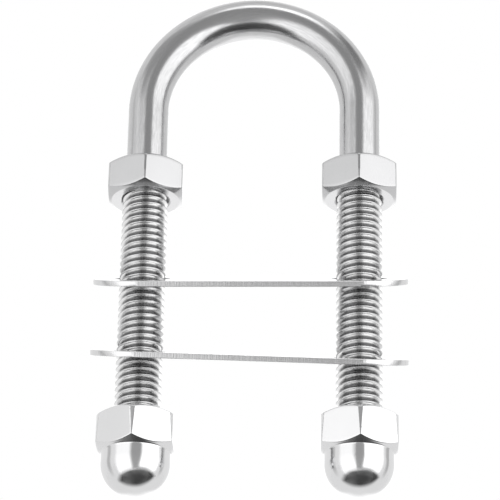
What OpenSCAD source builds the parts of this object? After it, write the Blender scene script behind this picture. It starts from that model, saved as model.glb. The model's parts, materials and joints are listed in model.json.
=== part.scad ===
// U-bolt with two clamp plates, two hexagon nuts and two domed cap nuts.
// The legs run along Z and the bend is at the top. The origin lies midway between the legs,
// on the clamp plane halfway between the two plates.

/* [Rod] */
// Major diameter of the thread on both legs
thread_d = 8; // [6:0.5:12]
// Distance from one thread crest to the next
thread_pitch = 1.25; // [0.75:0.25:1.75]
// Diameter of the plain rod in the bend
shank_d = 7.2; // [5:0.1:12]
// Clear width inside the bend
bend_gap = 30.4; // [24:0.2:60]
// Height of the bend's centre above the clamp plane
bend_rise = 40.5; // [34:0.5:80]
// Thread turns on each leg above the clamp plane
upper_turns = 24; // [22:1:26]
// Depth of the legs' lower ends below the clamp plane
leg_drop = 28.5; // [25:0.1:29]
// Chamfer on the end of each leg
leg_chamfer = 0.8; // [0.3:0.1:1.5]

/* [Hexagon nuts] */
// Width across the flats of the hexagon nuts
nut_s = 13; // [11:0.1:16]
// Height of the hexagon nuts
nut_h = 6.3; // [4:0.1:8]
// Height of the hexagon nuts' lower faces above the clamp plane
nut_rise = 22.7; // [19:0.1:24]
// How much smaller than the flats the circle is that is left flat on top of the hexagon nuts
nut_top_inset = 0.5; // [0.2:0.1:1.4]
// How much smaller than the flats the bearing face under the hexagon nuts is
nut_face_inset = 1.1; // [0.4:0.1:1.6]
// Slope of the hexagon nuts' corner chamfers, in degrees
nut_chamfer_angle = 32; // [15:1:45]
// Turn of the left hexagon nut about its leg, in degrees
left_nut_turn = 3; // [-30:1:30]
// Turn of the right hexagon nut about its leg, in degrees
right_nut_turn = 0; // [-30:1:30]

/* [Cap nuts] */
// Width across the flats of the cap nuts
cap_s = 13; // [11:0.1:16]
// Height of the cap nuts' hexagon
cap_hex_h = 6.8; // [5:0.1:9]
// Whole height of the cap nuts
cap_h = 14.5; // [13.5:0.1:18]
// How much smaller than the flats the cap nuts' dome is
dome_inset = 1; // [0.4:0.1:1.6]
// Depth of the cap nuts' bearing faces below the clamp plane
cap_drop = 18.2; // [17.8:0.1:19]
// How much smaller than the flats the cap nuts' bearing faces are
cap_face_inset = 0.6; // [0.2:0.1:1.4]
// Slope of the cap nuts' corner chamfers, in degrees
cap_chamfer_angle = 34; // [15:1:45]
// Depth of the cap nuts' straight bore
cap_bore = 11; // [10.4:0.1:11.4]
// Length of the taper at the end of that bore
cap_bore_tip = 1.4; // [0.5:0.1:1.5]
// Turn of the left cap nut about its leg, in degrees
left_cap_turn = -2; // [-30:1:30]
// Turn of the right cap nut about its leg, in degrees
right_cap_turn = 2; // [-30:1:30]

/* [Plates] */
// Width of the plates, which is also the diameter of their round ends
plate_w = 17.2; // [15:0.1:24]
// Thickness of the plates
plate_t = 1; // [0.6:0.1:1.5]
// Distance of each plate's middle from the clamp plane
plate_offset = 7.15; // [7:0.05:8]
// Tilt of the upper plate as it leans on the legs, in degrees
upper_tilt = 27.5; // [0:0.5:28]
// Tilt of the lower plate as it leans on the legs, in degrees
lower_tilt = 24; // [0:0.5:28]
// Slope of the lower plate from its left end down to its right end, in degrees
lower_slope = 2; // [-2:0.5:2]

/* [Clearances] */
// Gap between the thread crests and the nuts' bores, on the radius
nut_gap = 0.05; // [0.02:0.01:0.1]
// Gap left beside the leg in a plate's hole when the plate leans as far as it can
plate_gap = 0.11; // [0.06:0.01:0.3]
// How much wider the mouth of a nut's bore is than the thread
mouth_gap = 0.8; // [0.3:0.1:1.2]

/* [Hidden] */
$fn = 96;
hex_sides = 6;
half_hex_angle = 30;
flank_angle = 30;
mouth_angle = 30;
cut_overlap = 1;
leg_x = (bend_gap + shank_d) / 2;
thread_r = thread_d / 2;
shank_r = shank_d / 2;
// Metric thread form: flat crests an eighth of the pitch wide, flat roots a sixth, 60 degree flanks
crest_w = thread_pitch / 8;
root_w = thread_pitch / 6;
flank_w = (thread_pitch - crest_w - root_w) / 2;
root_r = thread_r - flank_w / tan(flank_angle);
lower_turns = floor((leg_drop - leg_chamfer) / thread_pitch);
thread_top = upper_turns * thread_pitch + crest_w;
shoulder_h = abs(thread_r - shank_r) * tan(flank_angle);
bore_r = thread_r + nut_gap;
mouth_r = bore_r + mouth_gap / 2;
mouth_h = (mouth_r - bore_r) * tan(mouth_angle);
nut_top_d = nut_s - nut_top_inset;
nut_face_d = nut_s - nut_face_inset;
cap_face_d = cap_s - cap_face_inset;
dome_d = cap_s - dome_inset;
dome_r = dome_d / 2;
plate_tilt_max = max(upper_tilt, lower_tilt);
plate_hole_d = (thread_d + 2 * plate_gap + plate_t * sin(plate_tilt_max)) / cos(plate_tilt_max);

// One thread groove below the height top, as [radius, height] points.
function groove(top) = [
    [thread_r, top],
    [root_r, top - flank_w],
    [root_r, top - flank_w - root_w],
    [thread_r, top - 2 * flank_w - root_w],
];
// Outline of a leg, from the clamp plane down to its end, up its axis and down the outside again.
leg_outline = concat(
    [for (turn = [0 : lower_turns - 1]) each groove(-turn * thread_pitch)],
    [[thread_r, leg_chamfer - leg_drop], [thread_r - leg_chamfer, -leg_drop], [0, -leg_drop]],
    [[0, bend_rise], [shank_r, bend_rise], [shank_r, thread_top + shoulder_h], [thread_r, thread_top]],
    [for (turn = [upper_turns : -1 : 1]) each groove(turn * thread_pitch)]
);

module leg() {
    rotate_extrude()
        polygon(leg_outline);
}

module bend() {
    translate([0, 0, bend_rise])
        rotate([90, 0, 0])
            rotate_extrude(angle = 180)
                translate([leg_x, 0])
                    circle(r = shank_r);
}

module u_rod() {
    color("lightsteelblue")
        union() {
            bend();
            for (side = [-1, 1])
                translate([side * leg_x, 0, 0])
                    leg();
        }
}

// Hexagon bar from z = 0 to h, its corners cut back by cones that leave round flats on both ends.
module chamfered_hex(s, h, bottom_d, top_d, slope) {
    corner_r = s / 2 / cos(half_hex_angle);
    cone_r = corner_r + cut_overlap;
    intersection() {
        rotate([0, 0, half_hex_angle])
            cylinder(r = corner_r, h = h, $fn = hex_sides);
        rotate_extrude()
            polygon([
                [0, 0],
                [bottom_d / 2, 0],
                [cone_r, (cone_r - bottom_d / 2) * tan(slope)],
                [cone_r, h - (cone_r - top_d / 2) * tan(slope)],
                [top_d / 2, h],
                [0, h],
            ]);
    }
}

// Bore along +Z from a face at z = 0, with a countersunk mouth that reaches past the face.
module bore_mouth() {
    translate([0, 0, -cut_overlap])
        cylinder(r = mouth_r, h = cut_overlap);
    cylinder(r1 = mouth_r, r2 = bore_r, h = mouth_h);
}

module hex_nut() {
    difference() {
        chamfered_hex(nut_s, nut_h, nut_face_d, nut_top_d, nut_chamfer_angle);
        translate([0, 0, -cut_overlap])
            cylinder(r = bore_r, h = nut_h + 2 * cut_overlap);
        bore_mouth();
        translate([0, 0, nut_h])
            mirror([0, 0, 1])
                bore_mouth();
    }
}

// Cap nut with its bearing face at z = 0 and its dome downwards.
module cap_nut() {
    difference() {
        union() {
            translate([0, 0, -cap_hex_h])
                chamfered_hex(cap_s, cap_hex_h, dome_d, cap_face_d, cap_chamfer_angle);
            translate([0, 0, dome_r - cap_h])
                cylinder(r = dome_r, h = cap_h - dome_r - cap_hex_h / 2);
            translate([0, 0, dome_r - cap_h])
                sphere(r = dome_r);
        }
        mirror([0, 0, 1]) {
            bore_mouth();
            cylinder(r = bore_r, h = cap_bore);
            translate([0, 0, cap_bore])
                cylinder(r1 = bore_r, r2 = 0, h = cap_bore_tip);
        }
    }
}

module plate() {
    translate([0, 0, -plate_t / 2])
        linear_extrude(plate_t)
            difference() {
                union() {
                    square([2 * leg_x, plate_w], center = true);
                    for (side = [-1, 1])
                        translate([side * leg_x, 0])
                            circle(d = plate_w);
                }
                for (side = [-1, 1])
                    translate([side * leg_x, 0])
                        circle(d = plate_hole_d);
            }
}

module left_hex_nut() {
    color("gainsboro")
        translate([-leg_x, 0, nut_rise])
            rotate([0, 0, left_nut_turn])
                hex_nut();
}

module right_hex_nut() {
    color("gainsboro")
        translate([leg_x, 0, nut_rise])
            rotate([0, 0, right_nut_turn])
                hex_nut();
}

module upper_plate() {
    color("silver")
        translate([0, 0, plate_offset])
            rotate([upper_tilt, 0, 0])
                plate();
}

module lower_plate() {
    color("silver")
        translate([0, 0, -plate_offset])
            rotate([0, lower_slope, 0])
                rotate([lower_tilt, 0, 0])
                    plate();
}

module left_cap_nut() {
    color("whitesmoke")
        translate([-leg_x, 0, -cap_drop])
            rotate([0, 0, left_cap_turn])
                cap_nut();
}

module right_cap_nut() {
    color("whitesmoke")
        translate([leg_x, 0, -cap_drop])
            rotate([0, 0, right_cap_turn])
                cap_nut();
}

u_rod();
left_hex_nut();
right_hex_nut();
upper_plate();
lower_plate();
left_cap_nut();
right_cap_nut();
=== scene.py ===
import json
import math
import bmesh
import bpy
from mathutils import Matrix, Quaternion, Vector


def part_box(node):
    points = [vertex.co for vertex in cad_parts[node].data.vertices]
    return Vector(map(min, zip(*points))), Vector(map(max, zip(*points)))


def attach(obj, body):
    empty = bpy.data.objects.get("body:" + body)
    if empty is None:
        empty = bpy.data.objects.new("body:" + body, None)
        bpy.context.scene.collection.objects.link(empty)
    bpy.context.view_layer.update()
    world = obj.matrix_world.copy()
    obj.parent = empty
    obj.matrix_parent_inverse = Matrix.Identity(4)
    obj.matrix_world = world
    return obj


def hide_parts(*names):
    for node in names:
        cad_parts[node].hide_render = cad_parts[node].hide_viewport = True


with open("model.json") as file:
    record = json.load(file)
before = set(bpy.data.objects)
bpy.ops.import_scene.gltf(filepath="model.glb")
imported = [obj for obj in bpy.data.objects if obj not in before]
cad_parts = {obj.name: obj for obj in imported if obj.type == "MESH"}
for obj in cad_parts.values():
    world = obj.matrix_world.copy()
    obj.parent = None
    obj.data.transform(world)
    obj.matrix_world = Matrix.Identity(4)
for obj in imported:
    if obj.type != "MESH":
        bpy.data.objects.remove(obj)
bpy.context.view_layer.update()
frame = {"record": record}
mm = 0.001
fullTurn = 2 * math.pi


# what the whole part shares: the thread and where the legs stand
thread = {
    "pitch": 1.25 * mm,
    "flank": 30,                   # half of the V's angle
    "middleDrop": 3 / 8,           # from the nominal radius to the middle of the V, in heights of the V
    "crestSlack": 0.015 * mm,      # the rolled crest stays this far inside the nominal radius
    "rootDepth": 0.78 * mm,        # crest to root, on the radius
    "crestRounding": 0.34 * mm,
    "rootRounding": 0.14 * mm,
    "nutSlack": 0.05 * mm,         # how much wider a nut's thread is, on the radius
}

studs = next(m for m in frame["record"]["mounts"] if m["name"] == "leg_studs")
rodLow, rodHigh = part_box("u_rod")
legX = studs["dims"]["spacing_x_mm"] * mm / 2
threadRadius = rodHigh.y
legDrop = -rodLow.z
crestRadius = threadRadius - thread["crestSlack"]
rootRadius = crestRadius - thread["rootDepth"]
sharpHeight = math.cos(math.radians(thread["flank"])) * thread["pitch"]   # the thread's V without its flats
sharpMiddle = threadRadius - sharpHeight * thread["middleDrop"]


def smoothMin(a, b, width):        # the same blend as a Math node's Smooth Minimum
    if width <= 0:
        return min(a, b)
    h = max(width - abs(a - b), 0) / width
    return min(a, b) - h * h * h * width / 6


def threadProfile(phase):          # radius at a share of the pitch: a crest at 0, a root at 0.5
    ridge = abs(2 * (phase % 1) - 1)
    radius = smoothMin(sharpMiddle + sharpHeight * (ridge - 0.5), crestRadius, thread["crestRounding"])
    return -smoothMin(-radius, -rootRadius, thread["rootRounding"])


# node trees
class Field:                       # one output of a node; sums on it add Math nodes
    def __init__(self, tree, socket):
        self.tree = tree
        self.socket = socket

    def calc(self, operation, *others):
        return self.tree.math(operation, self, *others)

    def __add__(self, other):
        return self.tree.math("ADD", self, other)

    def __radd__(self, other):
        return self.tree.math("ADD", other, self)

    def __sub__(self, other):
        return self.tree.math("SUBTRACT", self, other)

    def __rsub__(self, other):
        return self.tree.math("SUBTRACT", other, self)

    def __mul__(self, other):
        return self.tree.math("MULTIPLY", self, other)

    def __rmul__(self, other):
        return self.tree.math("MULTIPLY", other, self)

    def __truediv__(self, other):
        return self.tree.math("DIVIDE", self, other)

    def __rtruediv__(self, other):
        return self.tree.math("DIVIDE", other, self)

    def __neg__(self):
        return self.tree.math("MULTIPLY", self, -1)


class NodeTree:                    # adds nodes to a material's or a modifier's tree
    def __init__(self, tree):
        self.tree = tree
        tree.nodes.clear()

    def add(self, kind, settings=None, sockets=None, output=0):
        node = self.tree.nodes.new(kind)
        for name, value in (settings or {}).items():
            setattr(node, name, value)
        for name, value in (sockets or {}).items():
            self.feed(node.inputs[name], value)
        return Field(self, node.outputs[output]) if node.outputs else node

    def feed(self, socket, value):
        if isinstance(value, Field):
            self.tree.links.new(value.socket, socket)
        else:
            socket.default_value = value

    def math(self, operation, *values):
        return self.add("ShaderNodeMath", {"operation": operation}, dict(enumerate(values)))

    def mix(self, share, first, second):          # colours
        sockets = {0: share, 6: first, 7: second}
        return self.add("ShaderNodeMix", {"data_type": "RGBA"}, sockets, output=2)

    def vector(self, x, y, z):
        return self.add("ShaderNodeCombineXYZ", None, {"X": x, "Y": y, "Z": z})

    def split(self, vector, axis):
        return self.add("ShaderNodeSeparateXYZ", None, {0: vector}, output=axis)


# finishes
finishes = {
    "rod": {
        "colour": (0.57, 0.57, 0.575, 1), "wornShade": 0.78, "roughness": 0.19,
        # the crest colour is a painted highlight on the thread, the root colour painted shade in its roots
        "crestHighlightColour": (0.8, 0.8, 0.8, 1), "rootShadeColour": (0.13, 0.13, 0.132, 1),
        "crestHighlightDepth": (0.04, 0.13),    # where the thread's painted highlight begins, in shares of its depth
        "rootDepth": (0.4, 0.95),      # where the painted shade in its roots begins and is full
        "streakScale": 2.2, "streakStretch": (9, 9, 0.5), "streakRange": (0.35, 0.65),
        "blotchScale": 260, "scuffScale": 2300, "bump": 0.2, "bumpDepth": 0.025 * mm,
    },
    "turned": {                    # tool marks that nuts and cap nuts share
        "markScale": 5200, "markStretch": (1, 1, 0.12), "blotchScale": 330,
        "wornShade": 0.88, "bumpDepth": 0.015 * mm,
    },
    # the bore colour is painted shade inside the nuts and cap nuts
    "nut": {"colour": (0.56, 0.56, 0.565, 1), "boreShadeColour": (0.15, 0.15, 0.152, 1),
            "roughness": 0.17, "bump": 0.16},
    "cap": {"colour": (0.73, 0.73, 0.735, 1), "boreShadeColour": (0.2, 0.2, 0.202, 1),
            "roughness": 0.13, "bump": 0.05},
    "plate": {
        "colour": (0.78, 0.78, 0.785, 1), "wornShade": 0.92, "roughness": 0.2,
        "edgeColour": (0.6, 0.6, 0.605, 1), "grainScale": 9000, "grainStretch": (0.05, 1, 1),
        "shearScale": 4400, "shearStretch": (1, 1, 0.05), "shearRange": (0.35, 0.65),
        "blotchScale": 240, "bump": 0.35, "bumpDepth": 0.02 * mm,
    },
}


def newTree(name):
    material = bpy.data.materials.new(name)
    material.use_nodes = True
    return NodeTree(material.node_tree)


def steelMaterial(name, colour, roughness, normal, tree):
    shader = tree.add("ShaderNodeBsdfPrincipled", None, {
        "Base Color": colour, "Metallic": 1.0, "Roughness": roughness, "Normal": normal})
    tree.add("ShaderNodeOutputMaterial", None, {"Surface": shader})
    return bpy.data.materials[name]


def noise(tree, vector, scale, detail):
    return tree.add("ShaderNodeTexNoise", None, {"Vector": vector, "Scale": scale, "Detail": detail})


def stretched(tree, vector, scale):
    return tree.add("ShaderNodeMapping", None, {0: vector, "Scale": scale})


def attribute(tree, name, output):               # output 1 is a vector, 2 a number
    return tree.add("ShaderNodeAttribute", {"attribute_name": name}, None, output=output)


def objectPlace(tree):
    return tree.add("ShaderNodeTexCoord", output=3)


def within(tree, value, ends, interpolation="LINEAR"):          # 0 below the first end, 1 above the second
    return tree.add("ShaderNodeMapRange", {"interpolation_type": interpolation}, {
        "Value": value, "From Min": ends[0], "From Max": ends[1]})


def shaded(colour, share):
    return [v * share for v in colour[:3]] + [1]


def bump(tree, strength, distance, height):
    return tree.add("ShaderNodeBump", None, {"Strength": strength, "Distance": distance, "Height": height})


def rodMaterial():                 # drawn and polished rod, darker in the thread's roots as painted shade, its thread lighter as a painted highlight
    look = finishes["rod"]
    tree = newTree("rodSteel")
    surface = attribute(tree, "surface", 1)
    depth = attribute(tree, "depth", 2)
    place = objectPlace(tree)
    drawn = tree.add("ShaderNodeVectorMath", {"operation": "MULTIPLY"}, {
        0: surface, 1: look["streakStretch"]})
    streaks = noise(tree, drawn, look["streakScale"], 6)
    blotches = noise(tree, place, look["blotchScale"], 3)
    scuffs = noise(tree, place, look["scuffScale"], 4)
    # painted shade: the thread's roots take the darker root colour
    rootShade = within(tree, depth, look["rootDepth"], "SMOOTHSTEP")
    worn = within(tree, streaks, look["streakRange"])
    clean = tree.mix(worn * 0.5 + blotches * 0.2, look["colour"], shaded(look["colour"], look["wornShade"]))
    # painted highlight: past the crest depth the thread takes the lighter crest colour
    threadHighlight = within(tree, depth, look["crestHighlightDepth"])
    colour = tree.mix(rootShade, tree.mix(threadHighlight, clean, look["crestHighlightColour"]), look["rootShadeColour"])
    roughness = look["roughness"] + 0.09 * (worn - 0.5) + 0.06 * (blotches - 0.5) + 0.08 * rootShade
    normal = bump(tree, look["bump"], look["bumpDepth"], streaks * 1.1 + scuffs * 0.25)
    return steelMaterial("rodSteel", colour, roughness, normal, tree)


def nutMaterial(name, look):       # fine tool marks on the outside, the thread inside darkened as painted shade
    turned = finishes["turned"]
    tree = newTree(name)
    place = objectPlace(tree)
    inside = attribute(tree, "inside", 2)
    edge = attribute(tree, "edge", 2)
    marks = noise(tree, stretched(tree, place, turned["markStretch"]), turned["markScale"], 3)
    blotches = noise(tree, place, turned["blotchScale"], 3)
    clean = tree.mix(blotches * 0.3 + marks * 0.3, look["colour"],
                     shaded(look["colour"], turned["wornShade"]))
    # painted shade: the bore takes the dark bore colour
    colour = tree.mix(inside, clean, look["boreShadeColour"])
    roughness = (look["roughness"] + 0.05 * (blotches - 0.5) + 0.04 * (marks - 0.5)
                 + 0.1 * inside + 0.05 * edge)
    normal = bump(tree, look["bump"], turned["bumpDepth"], marks + blotches * 0.8)
    return steelMaterial(name, colour, roughness, normal, tree)


def plateMaterial():               # rolled sheet: faint grain on the flats, shear lines on the edge
    look = finishes["plate"]
    tree = newTree("plateSteel")
    flat = attribute(tree, "flat", 1)
    edge = attribute(tree, "edge", 2)
    grain = noise(tree, stretched(tree, flat, look["grainStretch"]), look["grainScale"], 4)
    shear = noise(tree, stretched(tree, flat, look["shearStretch"]), look["shearScale"], 2)
    blotches = noise(tree, flat, look["blotchScale"], 3)
    lines = within(tree, shear, look["shearRange"])
    sheet = tree.mix(blotches * 0.3, look["colour"], shaded(look["colour"], look["wornShade"]))
    colour = tree.mix(edge * (0.5 + lines * 0.3), sheet, look["edgeColour"])
    roughness = look["roughness"] + 0.06 * (blotches - 0.5) + 0.05 * (grain - 0.5)
    height = grain * (1 - edge) * 0.4 + shear * edge * 2.2
    normal = bump(tree, look["bump"], look["bumpDepth"], height)
    return steelMaterial("plateSteel", colour, roughness, normal, tree)


rodSteel = rodMaterial()
nutSteel = nutMaterial("nutSteel", finishes["nut"])
capSteel = nutMaterial("capSteel", finishes["cap"])
plateSteel = plateMaterial()
print("materials made")


# the rod: one helical strip that follows the U, so the thread and the smooth bend are one surface
rod = {
    "stepsPerTurn": 44,
    "stepsPerPitch": 10,
    "capTurns": 2,                 # turns that close each flat end
    "threadEnd": 28.9 * mm,        # height above the clamp plane where the thread has run out
    "runOut": 2.2 * mm,
    "tipChamfer": 0.8 * mm,
    "shankRadius": 3.6 * mm,
    "streakUnit": 2 * mm,          # length along the rod that counts as 1 in the streaks' pattern
    "weld": 0.2e-6,                # points of neighbouring turns this close become one
}
bendRise = rodHigh.z - legX - rod["shankRadius"]      # where the straight legs end, above the clamp plane
legLength = legDrop + bendRise
rodLength = 2 * legLength + math.pi * legX


def rodTree():
    group = bpy.data.node_groups.new("rodAlongU", "GeometryNodeTree")
    for name in ("legX", "legLength", "shankRadius", "pitch", "threadLength", "runOut", "tipChamfer"):
        group.interface.new_socket(name, in_out="INPUT", socket_type="NodeSocketFloat")
    for name in ("turns", "stepsPerTurn", "stepsPerPitch"):
        group.interface.new_socket(name, in_out="INPUT", socket_type="NodeSocketInt")
    group.interface.new_socket("material", in_out="INPUT", socket_type="NodeSocketMaterial")
    group.interface.new_socket("mesh", in_out="OUTPUT", socket_type="NodeSocketGeometry")
    tree = NodeTree(group)
    entry = group.nodes.new("NodeGroupInput")

    def size(name):
        return Field(tree, entry.outputs[name])

    turns = size("turns")
    grid = tree.add("GeometryNodeMeshGrid", None, {
        "Size X": turns, "Size Y": 1.0,
        "Vertices X": turns * size("stepsPerTurn") + 1, "Vertices Y": size("stepsPerPitch") + 1})
    spot = tree.add("GeometryNodeInputPosition")
    around = tree.split(spot, 0) + turns / 2                       # in turns
    phase = tree.split(spot, 1) + 0.5                              # 0 to 1 across one pitch
    angle = around * fullTurn
    legX, legLength = size("legX"), size("legLength")
    bendLength = legX * math.pi
    wholeLength = legLength * 2 + bendLength
    along = (around + phase - rod["capTurns"]) * size("pitch")     # distance from the left leg's end
    onRod = along.calc("MAXIMUM", 0).calc("MINIMUM", wholeLength)
    toEnd = onRod.calc("MINIMUM", wholeLength - onRod)
    swing = ((onRod - legLength) / legX).calc("MAXIMUM", 0).calc("MINIMUM", math.pi)
    rightLeg = (onRod - legLength - bendLength).calc("MAXIMUM", 0)
    below = (onRod - legLength).calc("MINIMUM", 0) - rightLeg
    outX = -swing.calc("COSINE")
    outZ = swing.calc("SINE")

    ridge = (phase * 2 - 1).calc("ABSOLUTE")
    sharp = sharpMiddle + (ridge - 0.5) * sharpHeight
    full = sharp.calc("SMOOTH_MIN", crestRadius, thread["crestRounding"])
    full = full.calc("SMOOTH_MAX", rootRadius, thread["rootRounding"])
    threadLength = size("threadLength")
    fade = within(tree, toEnd, (threadLength - size("runOut"), threadLength), "SMOOTHSTEP")
    radius = full + (size("shankRadius") - full) * fade
    tipRadius = crestRadius - size("tipChamfer")
    radius = radius.calc("MINIMUM", toEnd + tipRadius)
    past = (-along).calc("MAXIMUM", along - wholeLength).calc("MAXIMUM", 0)
    radius = radius * (1 - past / (size("pitch") * rod["capTurns"])).calc("MAXIMUM", 0)

    side = radius * angle.calc("COSINE")
    place = tree.vector((legX + side) * outX, -(radius * angle.calc("SINE")),
                        (legX + side) * outZ + below + bendRise)
    surface = tree.vector(angle.calc("COSINE"), angle.calc("SINE"), onRod / rod["streakUnit"])
    depth = (1 - fade) * (crestRadius - full) / thread["rootDepth"]
    strip = grid                   # both are kept before the strip is bent, while it still lies flat
    for name, kind, value in (("surface", "FLOAT_VECTOR", surface), ("depth", "FLOAT", depth)):
        strip = tree.add("GeometryNodeStoreNamedAttribute", {"data_type": kind}, {
            "Geometry": strip, "Name": name, "Value": value})
    bent = tree.add("GeometryNodeSetPosition", None, {"Geometry": strip, "Position": place})
    joined = tree.add("GeometryNodeMergeByDistance", None, {"Geometry": bent, "Distance": rod["weld"]})
    smooth = tree.add("GeometryNodeSetShadeSmooth", None, {"Geometry": joined})
    real = tree.add("GeometryNodeRealizeInstances", None, {"Geometry": smooth})
    shown = tree.add("GeometryNodeSetMaterial", None, {"Geometry": real, "Material": size("material")})
    result = group.nodes.new("NodeGroupOutput")
    group.links.new(shown.socket, result.inputs[0])
    return group


def meshFromTree(name, group, values):
    seed = bpy.data.objects.new(name + "Seed", bpy.data.meshes.new(name + "Seed"))
    bpy.context.scene.collection.objects.link(seed)
    modifier = seed.modifiers.new("nodes", "NODES")
    modifier.node_group = group
    for item in group.interface.items_tree:
        if item.in_out == "INPUT":
            modifier[item.identifier] = values[item.name]
    evaluated = seed.evaluated_get(bpy.context.evaluated_depsgraph_get())
    mesh = bpy.data.meshes.new_from_object(evaluated)
    seed.modifiers.clear()
    bpy.data.objects.remove(seed)
    mesh.name = name
    piece = bpy.data.objects.new(name, mesh)
    bpy.context.scene.collection.objects.link(piece)
    return piece


def makeRod():
    turns = math.ceil(rodLength / thread["pitch"]) + 2 * rod["capTurns"]
    shared = ("shankRadius", "runOut", "tipChamfer", "stepsPerTurn", "stepsPerPitch")
    piece = meshFromTree("rodPiece", rodTree(), {
        **{size: rod[size] for size in shared}, "legX": legX, "legLength": legLength,
        "pitch": thread["pitch"], "threadLength": legDrop + rod["threadEnd"],
        "turns": turns, "material": rodSteel})
    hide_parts("u_rod")
    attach(piece, "rod")
    print("rod made,", len(piece.data.polygons), "faces")


# nuts: each is turned column by column round its leg, with the leg's own thread cut in its bore;
# slopes and turns are in degrees, and cornerCut is how far a corner is broken at its top and at its foot
hexNut = {
    "flats": 13 * mm, "topFlat": 12.5 * mm, "bottomFlat": 11.9 * mm, "slope": 32,
    "turn": {"left": 3, "right": 0}, "cornerCut": (0.11 * mm, 0.05 * mm),
    "cornerRounding": 0.16 * mm, "edgeRounding": 0.12 * mm, "mouthGap": 0.4 * mm, "mouthSlope": 30,
}
capNut = {
    "flats": 13 * mm, "topFlat": 12.4 * mm, "bottomFlat": 12.0 * mm, "slope": 34, "hexHeight": 6.8 * mm,
    "turn": {"left": -2, "right": 2}, "cornerCut": (0.23 * mm, 0.03 * mm),
    "cornerRounding": 0.2 * mm, "edgeRounding": 0.14 * mm, "mouthGap": 0.4 * mm, "mouthSlope": 30,
    "bore": 11 * mm, "boreTip": 1.4 * mm, "neckRounding": 0.25 * mm, "domeSteps": 22,
}
columns = {                        # how finely the nuts are divided
    "perCorner": 4, "perCut": 8, "cutAngle": 7, "perFlat": 8, "perSide": 8, "perPitch": 10, "perFillet": 3,
    "filletReach": 0.45,           # the most of an outline's side that a fillet takes
    "roundingLoss": 0.15,          # how much lower a rounded corner stands, in radii of its rounding
}
bore = {
    "spare": 1.2 * thread["pitch"],              # length past each face in which the thread dies away
    "flare": 0.2 * mm,
    "shadeWithin": 0.2 * mm,                      # steel this close to the thread gets the bore's painted shade
    "tipClear": 2 * mm,                          # but not the tip of a dome
}
hexHalf = math.radians(30)                       # half of the angle between two corners


def cornerArc(flats, rounding):    # how far out a corner's rounding is centred, and the angle where it ends
    centre = (flats / 2 - rounding) / math.cos(hexHalf)
    return centre, math.atan2(rounding * math.sin(hexHalf), centre + rounding * math.cos(hexHalf))


def hexRadius(angle, flats, rounding):           # angle from any corner
    centre, tangent = cornerArc(flats, rounding)
    angle = abs((angle + hexHalf) % (2 * hexHalf) - hexHalf)
    if angle > tangent:
        return flats / 2 / math.cos(hexHalf - angle)
    return centre * math.cos(angle) + math.sqrt(rounding ** 2 - (centre * math.sin(angle)) ** 2)


def spread(start, end, steps):     # evenly spaced values after start, up to end
    return [start + (end - start) * (i + 1) / steps for i in range(steps)]


def columnAngles(firstCorner, flats, rounding):
    tangent = cornerArc(flats, rounding)[1]
    cut = math.radians(columns["cutAngle"])
    corner = [-tangent] + spread(-tangent, tangent, columns["perCorner"])
    beside = spread(tangent, cut, columns["perCut"])
    flat = spread(cut, 2 * hexHalf - cut, columns["perFlat"])[:-1]
    offsets = [-a for a in reversed(beside)] + corner + beside + flat
    angles = [firstCorner + side * 2 * hexHalf + offset for side in range(6) for offset in offsets]
    return angles + [angles[0] + fullTurn]


def fillet(before, corner, after, size):         # a short arc at a corner of an outline of (radius, height)
    a, b, c = Vector(before), Vector(corner), Vector(after)
    reach = min(size, *((end - b).length * columns["filletReach"] for end in (a, c)))
    start = b + (a - b).normalized() * reach
    end = b + (c - b).normalized() * reach
    shares = [i / columns["perFillet"] for i in range(columns["perFillet"] + 1)]
    return [start * (1 - t) ** 2 + b * 2 * t * (1 - t) + end * t * t for t in shares]


def threadedBore(side, angle, low, high, sizes, blind):
    pitch, step = thread["pitch"], thread["pitch"] / columns["perPitch"]
    climb = 1 if side == "left" else -1          # the strip runs up the left leg and down the right one
    reference = -legDrop if side == "left" else rodLength - legDrop
    start = reference + climb * pitch * angle / fullTurn
    mouthRadius = threadRadius + thread["nutSlack"] + sizes["mouthGap"]
    mouthRise = math.tan(math.radians(sizes["mouthSlope"]))
    spare = bore["spare"]
    first = math.floor((low - spare - pitch - reference) / step)
    last = math.ceil((high + spare + pitch - reference) / step)
    rows = []
    for i in range(first, last + 1):
        height = start + i * step
        radius = threadProfile(i / columns["perPitch"]) + thread["nutSlack"]
        held = min(max(height, low), high)
        radius = max(radius, mouthRadius - (high - held) / mouthRise)
        if blind:                  # the bore closes to a point below its end
            boreEnd = max(low - height, 0)
            radius = radius * max(1 - boreEnd / spare, 0)
            held -= sizes["boreTip"] * min(boreEnd / spare, 1)
            past = max(height - high, 0)
        else:
            radius = max(radius, mouthRadius - (held - low) / mouthRise)
            past = max(height - high, low - height, 0)
        radius += bore["flare"] * min(past / spare, 1)
        rows.append((radius, held))
    return rows


def chamferedSide(radius, low, high, sizes):     # a hexagon's outline with coned ends, from its top face down
    rise = math.tan(math.radians(sizes["slope"]))
    top, bottom = sizes["topFlat"] / 2, sizes["bottomFlat"] / 2
    corner = sizes["flats"] / 2 / math.cos(hexHalf) - columns["roundingLoss"] * sizes["cornerRounding"]
    turned = hexHalf - math.acos(min(sizes["flats"] / 2 / radius, 1))     # from the nearest corner
    topCut, bottomCut = sizes["cornerCut"]
    steps = columns["perSide"]
    cuts = [topCut + (bottomCut - topCut) * i / steps for i in range(steps + 1)]
    radii = [min(radius, (corner - cut) / math.cos(turned)) for cut in cuts]
    upper = high - max(radii[0] - top, 0) * rise
    lower = low + max(radii[-1] - bottom, 0) * rise
    side = [(radii[i], upper + (lower - upper) * i / steps) for i in range(steps + 1)]
    return [(top, high), *side, (bottom, low)]


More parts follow.
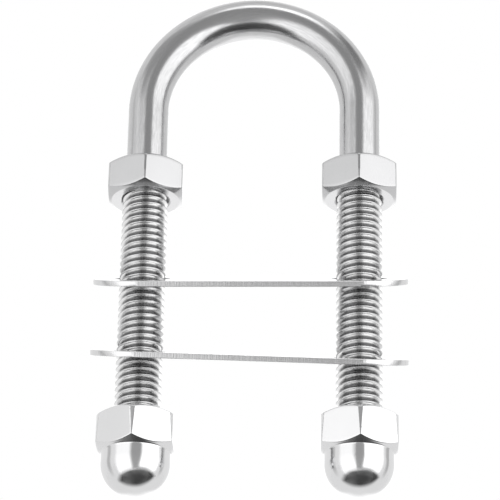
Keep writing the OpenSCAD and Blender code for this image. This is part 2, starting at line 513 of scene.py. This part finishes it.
def nutOutline(side, angle, radius, low, high, sizes):          # bore, then top face, side and bottom face
    corners = chamferedSide(radius, low, high, sizes)
    ends = [(corners[0][0] - mm, high), *corners, (corners[-1][0] - mm, low)]    # with both neighbours
    rows = threadedBore(side, angle, low, high, sizes, blind=False)
    for a, b, c in zip(ends, corners, ends[2:]):
        rows += [tuple(p) for p in fillet(a, b, c, sizes["edgeRounding"])]
    return rows


def capOutline(side, angle, radius, low, high, sizes):          # blind bore, top face, side, neck and dome
    hexLow = high - sizes["hexHeight"]
    domeRadius = sizes["bottomFlat"] / 2
    domeCentre = low + domeRadius
    corners = chamferedSide(radius, hexLow, high, sizes)
    ends = [(corners[0][0] - mm, high), *corners, (domeRadius, domeCentre)]
    rows = threadedBore(side, angle, high - sizes["bore"], high, sizes, blind=True)
    for a, b, c in zip(ends, corners, ends[2:]):
        size = sizes["neckRounding"] if b is corners[-1] else sizes["edgeRounding"]
        rows += [tuple(p) for p in fillet(a, b, c, size)]
    for i in range(sizes["domeSteps"] + 1):
        turn = math.pi / 2 * i / sizes["domeSteps"]
        rows.append((domeRadius * math.cos(turn), domeCentre - domeRadius * math.sin(turn)))
    return rows


def legPoint(side, angle, radius, height):
    out = radius * math.cos(angle) + legX
    return Vector((-out if side == "left" else out, -radius * math.sin(angle), height))


# welding distances in metres, the angle past which an edge is sharp, and how far big faces rule the shading
meshing = {"weld": 0.3e-6, "sliver": 0.1e-6, "sharpAngle": 24, "normalWeight": 100}


def closeMesh(bm):
    bmesh.ops.remove_doubles(bm, verts=bm.verts, dist=meshing["weld"])
    bmesh.ops.dissolve_degenerate(bm, edges=bm.edges, dist=meshing["sliver"])
    bmesh.ops.recalc_face_normals(bm, faces=bm.faces)
    if bm.calc_volume(signed=True) < 0:
        bmesh.ops.reverse_faces(bm, faces=bm.faces)


def pieceFrom(bm, name, material):
    mesh = bpy.data.meshes.new(name)
    bm.to_mesh(mesh)
    bm.free()
    mesh.polygons.foreach_set("use_smooth", [True] * len(mesh.polygons))
    mesh.set_sharp_from_angle(angle=math.radians(meshing["sharpAngle"]))
    mesh.materials.append(material)
    piece = bpy.data.objects.new(name, mesh)
    bpy.context.scene.collection.objects.link(piece)
    weighted = piece.modifiers.new("faceNormals", "WEIGHTED_NORMAL")    # flats stay flat by their edges
    weighted.weight = meshing["normalWeight"]
    weighted.keep_sharp = True
    return piece


# closed says that the outline is a ring: a cap nut's runs from its bore's tip to its dome's
def makeNut(node, side, sizes, outline, closed, material):
    low, high = (corner.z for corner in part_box(node))
    boreLow = low if closed else low + bore["tipClear"]
    worldCorner = math.radians(90 + sizes["turn"][side])
    firstCorner = worldCorner + math.pi if side == "left" else -worldCorner
    angles = columnAngles(firstCorner, sizes["flats"], sizes["cornerRounding"])
    bm = bmesh.new()
    inside = bm.verts.layers.float.new("inside")
    edge = bm.verts.layers.float.new("edge")
    grid = []
    for angle in angles:
        radius = hexRadius(angle - firstCorner, sizes["flats"], sizes["cornerRounding"])
        column = []
        for r, height in outline(side, angle, radius, low, high, sizes):
            vert = bm.verts.new(legPoint(side, angle, r, height))
            # where the bore's painted shade falls
            vert[inside] = 1.0 if r < threadRadius + bore["shadeWithin"] and height > boreLow else 0.0
            vert[edge] = min(max((r - sizes["flats"] / 2) / mm, 0), 1)
            column.append(vert)
        grid.append(column)
    count = len(grid[0])
    for left, right in zip(grid, grid[1:]):
        for i in range(count if closed else count - 1):
            j = (i + 1) % count
            bm.faces.new((left[i], left[j], right[j], right[i]))
    closeMesh(bm)
    piece = pieceFrom(bm, node + "Piece", material)
    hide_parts(node)
    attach(piece, node)
    print(node, "made,", len(piece.data.polygons), "faces")


# plates: a flat bar with round ends and two holes, its stamped edges slightly rounded; tilt and slope are
# how it leans on the legs, in degrees
plate = {
    "width": 17.2 * mm, "thickness": 1 * mm, "hole": 9.8 * mm, "edgeRounding": 0.12 * mm,
    "tilt": {"upper_plate": 27.5, "lower_plate": 24}, "slope": {"upper_plate": 0, "lower_plate": 2},
    "endSteps": 48, "holeSteps": 72, "filletSteps": 3, "faceTolerance": 0.001 * mm,
}


def plateRing(points, outwards, bm):             # wall of one outline, with rounded upper and lower edges
    half, rounding, steps = plate["thickness"] / 2, plate["edgeRounding"], plate["filletSteps"]
    rows = []
    for end in (1, -1):
        for i in range(steps + 1):
            turn = math.pi / 2 * (i if end == 1 else steps - i) / steps
            rows.append((rounding * (1 - math.sin(turn)), end * (half - rounding * (1 - math.cos(turn)))))
    rings = []
    for pull, height in rows:
        rings.append([bm.verts.new((*(p - n * pull * outwards), height)) for p, n in points])
    count = len(points)
    for upper, lower in zip(rings, rings[1:]):
        for i in range(count):
            j = (i + 1) % count
            bm.faces.new((upper[i], upper[j], lower[j], lower[i]))
    return rings[0], rings[-1]


def arcPoints(centre, radius, start, end, steps):
    points = []
    for i in range(steps + 1):
        turn = math.radians(start + (end - start) * i / steps)
        normal = Vector((math.cos(turn), math.sin(turn)))
        points.append((centre + normal * radius, normal))
    return points


def makePlate(node):
    bm = bmesh.new()
    right, left = Vector((legX, 0)), Vector((-legX, 0))
    outer = (arcPoints(right, plate["width"] / 2, -90, 90, plate["endSteps"])
             + arcPoints(left, plate["width"] / 2, 90, 270, plate["endSteps"]))
    rings = [plateRing(outer, 1, bm)]
    for centre in (right, left):
        hole = arcPoints(centre, plate["hole"] / 2, 0, 360, plate["holeSteps"])[:-1]
        rings.append(plateRing(hole, -1, bm))
    for face in (0, 1):
        edges = []
        for ring in rings:
            loop = ring[face]
            edges += [bm.edges.get((loop[i], loop[(i + 1) % len(loop)])) for i in range(len(loop))]
        bmesh.ops.triangle_fill(bm, edges=edges, use_beauty=True)
    closeMesh(bm)
    flat = bm.verts.layers.float_vector.new("flat")
    edge = bm.verts.layers.float.new("edge")
    low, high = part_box(node)
    turn = (Matrix.Rotation(math.radians(plate["slope"][node]), 4, "Y")
            @ Matrix.Rotation(math.radians(plate["tilt"][node]), 4, "X"))
    for vert in bm.verts:
        vert[flat] = vert.co
        vert[edge] = 1.0 if abs(vert.co.z) < plate["thickness"] / 2 - plate["faceTolerance"] else 0.0
        vert.co = turn @ vert.co + (low + high) / 2
    piece = pieceFrom(bm, node + "Piece", plateSteel)
    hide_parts(node)
    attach(piece, node)
    print(node, "made,", len(piece.data.polygons), "faces")


makeRod()
for side in ("left", "right"):
    makeNut(side + "_hex_nut", side, hexNut, nutOutline, True, nutSteel)
    makeNut(side + "_cap_nut", side, capNut, capOutline, False, capSteel)
for node in ("upper_plate", "lower_plate"):
    makePlate(node)


# studio: pale floor, white surroundings, and the cards that give polished steel its bands
studio = {
    "backdrop": 1.0,               # what the camera sees behind the part
    "room": 1.0,                   # what the steel mirrors where no card stands
    "floorDrop": 0.6, "floorRadius": 4.0, "floorSteps": 96,
    "floorColour": (0.985, 0.985, 0.985, 1), "floorTint": (0.9, 0.9, 0.905, 1),
    "floorTintScale": 9, "floorTintShare": 0.3, "floorRoughness": 0.7,
    "cardDistance": 0.62, "cardSteps": 12, "orderStep": 0.04,
}
# each card: brightness at its foot and head, softness of its edges, order from the part outwards, and its
# corners from the lower left one round, as (azimuth, elevation) in degrees, azimuth 0 being the front, with
# the distance in metres where it isn't cardDistance
cards = {
    "leftBox": ((1.8, 1.2), 0.2, 0, (-68, -47, 0.76), (0, -43, 0.76), (-14, 44, 0.38), (-70, 40, 0.38)),
    "rightBox": ((2.0, 1.6), 0.15, 0, (8.5, -36, 0.45), (84, -34, 0.45), (92, 40, 0.4), (21, 46, 0.4)),
    "topBox": ((2.6, 2.6), 0.35, 0, (-24, 49), (34, 49), (44, 70), (-24, 70)),
    "frontGap": ((0.49, 0.38), 0.14, 0,
                 (-64, -43, 0.84), (64, -43, 0.84), (60, 60, 0.84), (-60, 60, 0.84)),
    "leftCeiling": ((0.5, 0.5), 0.3, 1, (-84, 38), (-12, 38), (-24, 66), (-84, 62)),
    "rightCeiling": ((0.3, 0.3), 0.3, 1, (12, 38), (104, 44), (100, 76), (24, 60)),
    "ceiling": ((0.85, 0.85), 0.3, 2, (-120, 60), (120, 60), (120, 110), (-120, 110)),
    "leftSeam": ((0.6, 0.6), 0.4, 1, (-102, -40), (-80, -40), (-80, 50), (-102, 50)),
    "rightSeam": ((0.55, 0.55), 0.4, 1, (92, -36), (112, -36), (112, 50), (92, 50)),
    "backLight": ((1.42, 1.5), 0.25, 2, (146, -60), (214, -60), (214, 75), (146, 75)),
}
darkTable = {
    "brightness": (0.07, 0.22), "drop": 0.58, "softness": 0.15, "patchScale": 2.2, "patchRange": (0.4, 0.7),
    "outline": ((-1.15, 0.2), (-1.25, -0.45), (-0.95, -0.95), (-0.4, -1.3), (0.4, -1.4),
                (1.05, -1.25), (1.5, -0.75), (1.75, -0.3), (1.7, 0.2)),
}


def grey(level):
    return (level, level, level, 1)


def lamp(name, tree, colour, share):             # glows where share is 1 and is clear where it is 0
    glow = tree.add("ShaderNodeBsdfPrincipled", None, {
        "Base Color": grey(0), "Specular IOR Level": 0.0, "Roughness": 1.0,
        "Emission Strength": 1.0, "Emission Color": colour})
    both = tree.add("ShaderNodeMixShader", None, {
        0: share, 1: tree.add("ShaderNodeBsdfTransparent"), 2: glow})
    tree.add("ShaderNodeOutputMaterial", None, {"Surface": both})
    return bpy.data.materials[name]


def cardGlow(name, levels, softness):
    tree = newTree(name)
    spot = attribute(tree, "spot", 1)
    share = 1.0
    for axis in (0, 1):
        side = tree.split(spot, axis)
        share = share * within(tree, side.calc("MINIMUM", 1 - side), (0.0, softness), "SMOOTHSTEP")
    return lamp(name, tree, tree.mix(tree.split(spot, 1), grey(levels[0]), grey(levels[1])), share)


def tableCloth():                  # mostly dark, a little lighter in soft patches
    tree = newTree("darkTable")
    patches = noise(tree, objectPlace(tree), darkTable["patchScale"], 1)
    level = within(tree, patches, darkTable["patchRange"])
    low, high = darkTable["brightness"]
    return lamp("darkTable", tree, tree.mix(level, grey(low), grey(high)), attribute(tree, "share", 2))


def stagePiece(name, verts, faces, material):
    mesh = bpy.data.meshes.new(name)
    mesh.from_pydata(verts, [], faces)
    mesh.materials.append(material)
    piece = bpy.data.objects.new(name, mesh)
    bpy.context.scene.collection.objects.link(piece)
    return piece


def onlyMirrored(piece):           # a card is seen in the steel and nowhere else
    for ray in ("camera", "diffuse", "shadow", "transmission"):
        setattr(piece, "visible_" + ray, False)


def makeCard(name, levels, softness, order, corners):
    steps = studio["cardSteps"]
    verts, faces, spots = [], [], []
    lowLeft, lowRight, highRight, highLeft = (Vector((*c, studio["cardDistance"])[:3]) for c in corners)
    for j in range(steps + 1):
        for i in range(steps + 1):
            u, v = i / steps, j / steps
            spot = (lowLeft * (1 - u) + lowRight * u) * (1 - v) + (highLeft * (1 - u) + highRight * u) * v
            azimuth, elevation = math.radians(spot.x), math.radians(spot.y)
            reach = spot.z * (1 + studio["orderStep"] * order)
            flat = math.cos(elevation) * reach
            verts.append((math.sin(azimuth) * flat, -math.cos(azimuth) * flat, math.sin(elevation) * reach))
            spots += [u, v, 0]
    for j in range(steps):
        for i in range(steps):
            a = j * (steps + 1) + i
            faces.append((a, a + 1, a + steps + 2, a + steps + 1))
    piece = stagePiece(name, verts, faces, cardGlow(name, levels, softness))
    piece.data.attributes.new("spot", "FLOAT_VECTOR", "POINT").data.foreach_set("vector", spots)
    onlyMirrored(piece)


def makeTable():
    drop, soft = darkTable["drop"], darkTable["softness"]
    outline = [Vector(p) * drop for p in darkTable["outline"]]
    middle = sum(outline, Vector((0, 0))) / len(outline)
    verts = [(*p, -drop) for p in outline] + [(*(p + (middle - p) * soft * 2), -drop) for p in outline]
    count = len(outline)
    faces = [(i, (i + 1) % count, count + (i + 1) % count, count + i) for i in range(count)]
    faces.append(tuple(range(count, 2 * count)))
    piece = stagePiece("darkTable", verts, faces, tableCloth())
    share = piece.data.attributes.new("share", "FLOAT", "POINT")
    share.data.foreach_set("value", [0.0] * count + [1.0] * count)
    onlyMirrored(piece)


def makeFloor():
    steps = studio["floorSteps"]
    turns = [fullTurn * i / steps for i in range(steps)]
    ring = [(math.cos(turn) * studio["floorRadius"], math.sin(turn) * studio["floorRadius"],
             -studio["floorDrop"]) for turn in turns]
    tree = newTree("paleFloor")
    tint = noise(tree, objectPlace(tree), studio["floorTintScale"], 2)
    colour = tree.mix(tint * studio["floorTintShare"], studio["floorColour"], studio["floorTint"])
    shader = tree.add("ShaderNodeBsdfPrincipled", None, {
        "Base Color": colour, "Roughness": studio["floorRoughness"]})
    tree.add("ShaderNodeOutputMaterial", None, {"Surface": shader})
    stagePiece("floor", ring, [tuple(range(steps))], bpy.data.materials["paleFloor"])


def makeStudio():
    makeFloor()
    for name, (levels, softness, order, *corners) in cards.items():
        makeCard(name, levels, softness, order, corners)
    makeTable()

    world = bpy.data.worlds.new("whiteRoom")
    world.use_nodes = True
    bpy.context.scene.world = world
    tree = NodeTree(world.node_tree)
    seen = tree.add("ShaderNodeLightPath", output=0)
    level = seen * (studio["backdrop"] - studio["room"]) + studio["room"]
    sky = tree.add("ShaderNodeBackground", None, {"Color": (1, 1, 1, 1), "Strength": level})
    tree.add("ShaderNodeOutputWorld", None, {"Surface": sky})
    bpy.context.scene.view_settings.view_transform = "Standard"
    print("studio made")


camera = {                         # angles in degrees, lens in mm, the rest in metres
    "azimuth": 2.69, "elevation": -25.29, "roll": -1.11, "distance": 0.4746, "lens": 196.17,
    "aim": (-0.00022, 0, 0.01316), "clip": (0.01, 20),
}


def makeCamera():
    data = bpy.data.cameras.new("camera")
    data.lens = camera["lens"]
    data.clip_start, data.clip_end = camera["clip"]
    data.dof.use_dof = False
    eye = bpy.data.objects.new("camera", data)
    bpy.context.scene.collection.objects.link(eye)
    azimuth, elevation = math.radians(camera["azimuth"]), math.radians(camera["elevation"])
    back = Vector((math.sin(azimuth) * math.cos(elevation), -math.cos(azimuth) * math.cos(elevation),
                   math.sin(elevation)))
    eye.rotation_mode = "QUATERNION"
    eye.location = Vector(camera["aim"]) + back * camera["distance"]
    eye.rotation_quaternion = ((-back).to_track_quat("-Z", "Y")
                               @ Quaternion((0, 0, 1), math.radians(-camera["roll"])))
    bpy.context.scene.camera = eye


makeStudio()
makeCamera()
